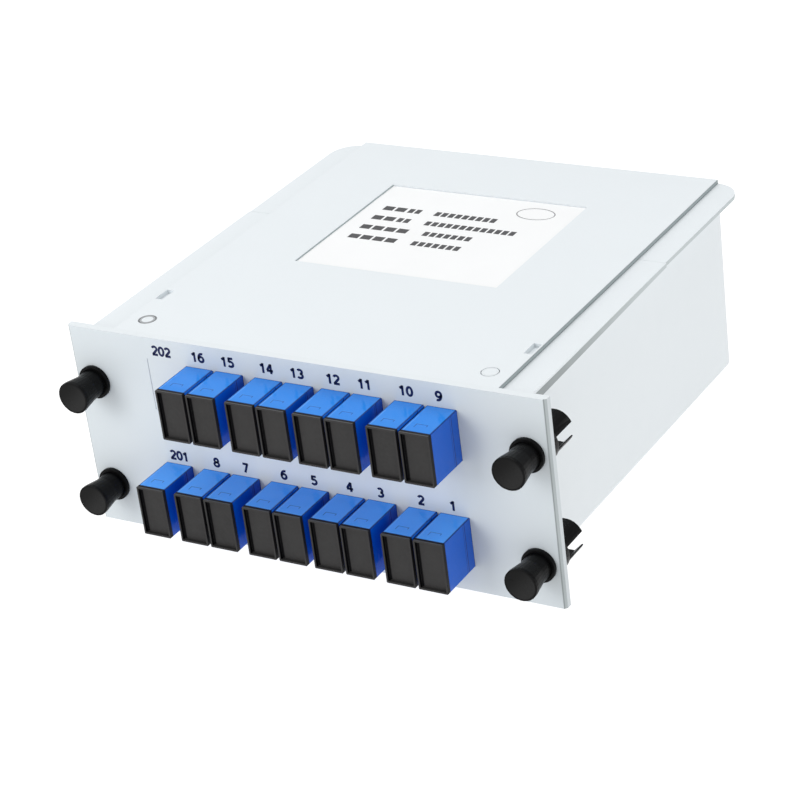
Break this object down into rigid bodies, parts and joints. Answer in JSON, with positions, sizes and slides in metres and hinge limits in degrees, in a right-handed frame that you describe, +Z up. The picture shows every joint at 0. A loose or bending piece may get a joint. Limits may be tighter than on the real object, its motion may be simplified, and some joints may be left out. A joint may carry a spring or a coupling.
{
  "type": "plc fibre splitter cassette",
  "caption": "Plug-in optical splitter cassette: sheet-metal box with guide flanges, blue connector adapters with dust caps in its front panel, and push-pull latches.",
  "frame": {"origin": "middle of the bounding box's underside, with every dust cap in and every latch pulled out", "axes": "+Y from the front panel towards the rear wall, +Z up through the lid"},
  "size_m": [0.124, 0.1276, 0.0511],
  "materials": {
    "powder_coat": "fine satin powder coat",
    "label_sheet": "smooth printed film",
    "adapter_blue": "glossy moulded plastic",
    "cap_grey": "satin soft plastic",
    "latch_black": "satin nylon",
    "zirconia": "polished ceramic",
    "chip_steel": "brushed",
    "boot_rubber": "matt",
    "fibre_jacket": "smooth jacket",
    "clip_nylon": "natural nylon"
  },
  "bodies": {
    "case": {"tray": "powder_coat", "front_panel": "powder_coat", "lid": "powder_coat", "label": "label_sheet", "guide_right": "powder_coat", "guide_left": "powder_coat", "lid_lugs": "powder_coat", "lid_rivets": "powder_coat", "port_blank": "powder_coat", "alignment_sleeves": "zirconia", "rear_connectors": "adapter_blue", "splitter_chip_case": "chip_steel", "splitter_boots": "boot_rubber", "chip_clip": "chip_steel", "fibre_loops": "fibre_jacket", "fibre_clips": "clip_nylon", "adapter_01": "adapter_blue", "adapter_02": "adapter_blue", "adapter_03": "adapter_blue", "adapter_04": "adapter_blue", "adapter_05": "adapter_blue", "adapter_06": "adapter_blue", "adapter_07": "adapter_blue", "adapter_08": "adapter_blue", "adapter_09": "adapter_blue", "adapter_10": "adapter_blue", "adapter_11": "adapter_blue", "adapter_12": "adapter_blue", "adapter_13": "adapter_blue", "adapter_14": "adapter_blue", "adapter_15": "adapter_blue", "adapter_16": "adapter_blue", "adapter_201": "adapter_blue", "latch_grommets": "latch_black"},
    "dust_cap_01": {"dust_cap_01": "cap_grey"},
    "dust_cap_02": {"dust_cap_02": "cap_grey"},
    "dust_cap_03": {"dust_cap_03": "cap_grey"},
    "dust_cap_04": {"dust_cap_04": "cap_grey"},
    "dust_cap_05": {"dust_cap_05": "cap_grey"},
    "dust_cap_06": {"dust_cap_06": "cap_grey"},
    "dust_cap_07": {"dust_cap_07": "cap_grey"},
    "dust_cap_08": {"dust_cap_08": "cap_grey"},
    "dust_cap_09": {"dust_cap_09": "cap_grey"},
    "dust_cap_10": {"dust_cap_10": "cap_grey"},
    "dust_cap_11": {"dust_cap_11": "cap_grey"},
    "dust_cap_12": {"dust_cap_12": "cap_grey"},
    "dust_cap_13": {"dust_cap_13": "cap_grey"},
    "dust_cap_14": {"dust_cap_14": "cap_grey"},
    "dust_cap_15": {"dust_cap_15": "cap_grey"},
    "dust_cap_16": {"dust_cap_16": "cap_grey"},
    "dust_cap_201": {"dust_cap_201": "cap_grey"},
    "latch_plunger_upper_left": {"latch_plunger_upper_left": "latch_black"},
    "latch_plunger_upper_right": {"latch_plunger_upper_right": "latch_black"},
    "latch_plunger_lower_left": {"latch_plunger_lower_left": "latch_black"},
    "latch_plunger_lower_right": {"latch_plunger_lower_right": "latch_black"}
  },
  "joints": [
    {"name": "dust_cap_01_pull", "type": "slide", "parent": "case", "child": "dust_cap_01", "axis": [0, -1, 0], "range_m": [0, 0.012]},
    {"name": "dust_cap_02_pull", "type": "slide", "parent": "case", "child": "dust_cap_02", "axis": [0, -1, 0], "range_m": [0, 0.012]},
    {"name": "dust_cap_03_pull", "type": "slide", "parent": "case", "child": "dust_cap_03", "axis": [0, -1, 0], "range_m": [0, 0.012]},
    {"name": "dust_cap_04_pull", "type": "slide", "parent": "case", "child": "dust_cap_04", "axis": [0, -1, 0], "range_m": [0, 0.012]},
    {"name": "dust_cap_05_pull", "type": "slide", "parent": "case", "child": "dust_cap_05", "axis": [0, -1, 0], "range_m": [0, 0.012]},
    {"name": "dust_cap_06_pull", "type": "slide", "parent": "case", "child": "dust_cap_06", "axis": [0, -1, 0], "range_m": [0, 0.012]},
    {"name": "dust_cap_07_pull", "type": "slide", "parent": "case", "child": "dust_cap_07", "axis": [0, -1, 0], "range_m": [0, 0.012]},
    {"name": "dust_cap_08_pull", "type": "slide", "parent": "case", "child": "dust_cap_08", "axis": [0, -1, 0], "range_m": [0, 0.012]},
    {"name": "dust_cap_09_pull", "type": "slide", "parent": "case", "child": "dust_cap_09", "axis": [0, -1, 0], "range_m": [0, 0.012]},
    {"name": "dust_cap_10_pull", "type": "slide", "parent": "case", "child": "dust_cap_10", "axis": [0, -1, 0], "range_m": [0, 0.012]},
    {"name": "dust_cap_11_pull", "type": "slide", "parent": "case", "child": "dust_cap_11", "axis": [0, -1, 0], "range_m": [0, 0.012]},
    {"name": "dust_cap_12_pull", "type": "slide", "parent": "case", "child": "dust_cap_12", "axis": [0, -1, 0], "range_m": [0, 0.012]},
    {"name": "dust_cap_13_pull", "type": "slide", "parent": "case", "child": "dust_cap_13", "axis": [0, -1, 0], "range_m": [0, 0.012]},
    {"name": "dust_cap_14_pull", "type": "slide", "parent": "case", "child": "dust_cap_14", "axis": [0, -1, 0], "range_m": [0, 0.012]},
    {"name": "dust_cap_15_pull", "type": "slide", "parent": "case", "child": "dust_cap_15", "axis": [0, -1, 0], "range_m": [0, 0.012]},
    {"name": "dust_cap_16_pull", "type": "slide", "parent": "case", "child": "dust_cap_16", "axis": [0, -1, 0], "range_m": [0, 0.012]},
    {"name": "dust_cap_201_pull", "type": "slide", "parent": "case", "child": "dust_cap_201", "axis": [0, -1, 0], "range_m": [0, 0.012]},
    {"name": "latch_upper_left_push", "type": "slide", "parent": "case", "child": "latch_plunger_upper_left", "axis": [0, 1, 0], "range_m": [0, 0.0024]},
    {"name": "latch_upper_right_push", "type": "slide", "parent": "case", "child": "latch_plunger_upper_right", "axis": [0, 1, 0], "range_m": [0, 0.0024]},
    {"name": "latch_lower_left_push", "type": "slide", "parent": "case", "child": "latch_plunger_lower_left", "axis": [0, 1, 0], "range_m": [0, 0.0024]},
    {"name": "latch_lower_right_push", "type": "slide", "parent": "case", "child": "latch_plunger_lower_right", "axis": [0, 1, 0], "range_m": [0, 0.0024]}
  ]
}
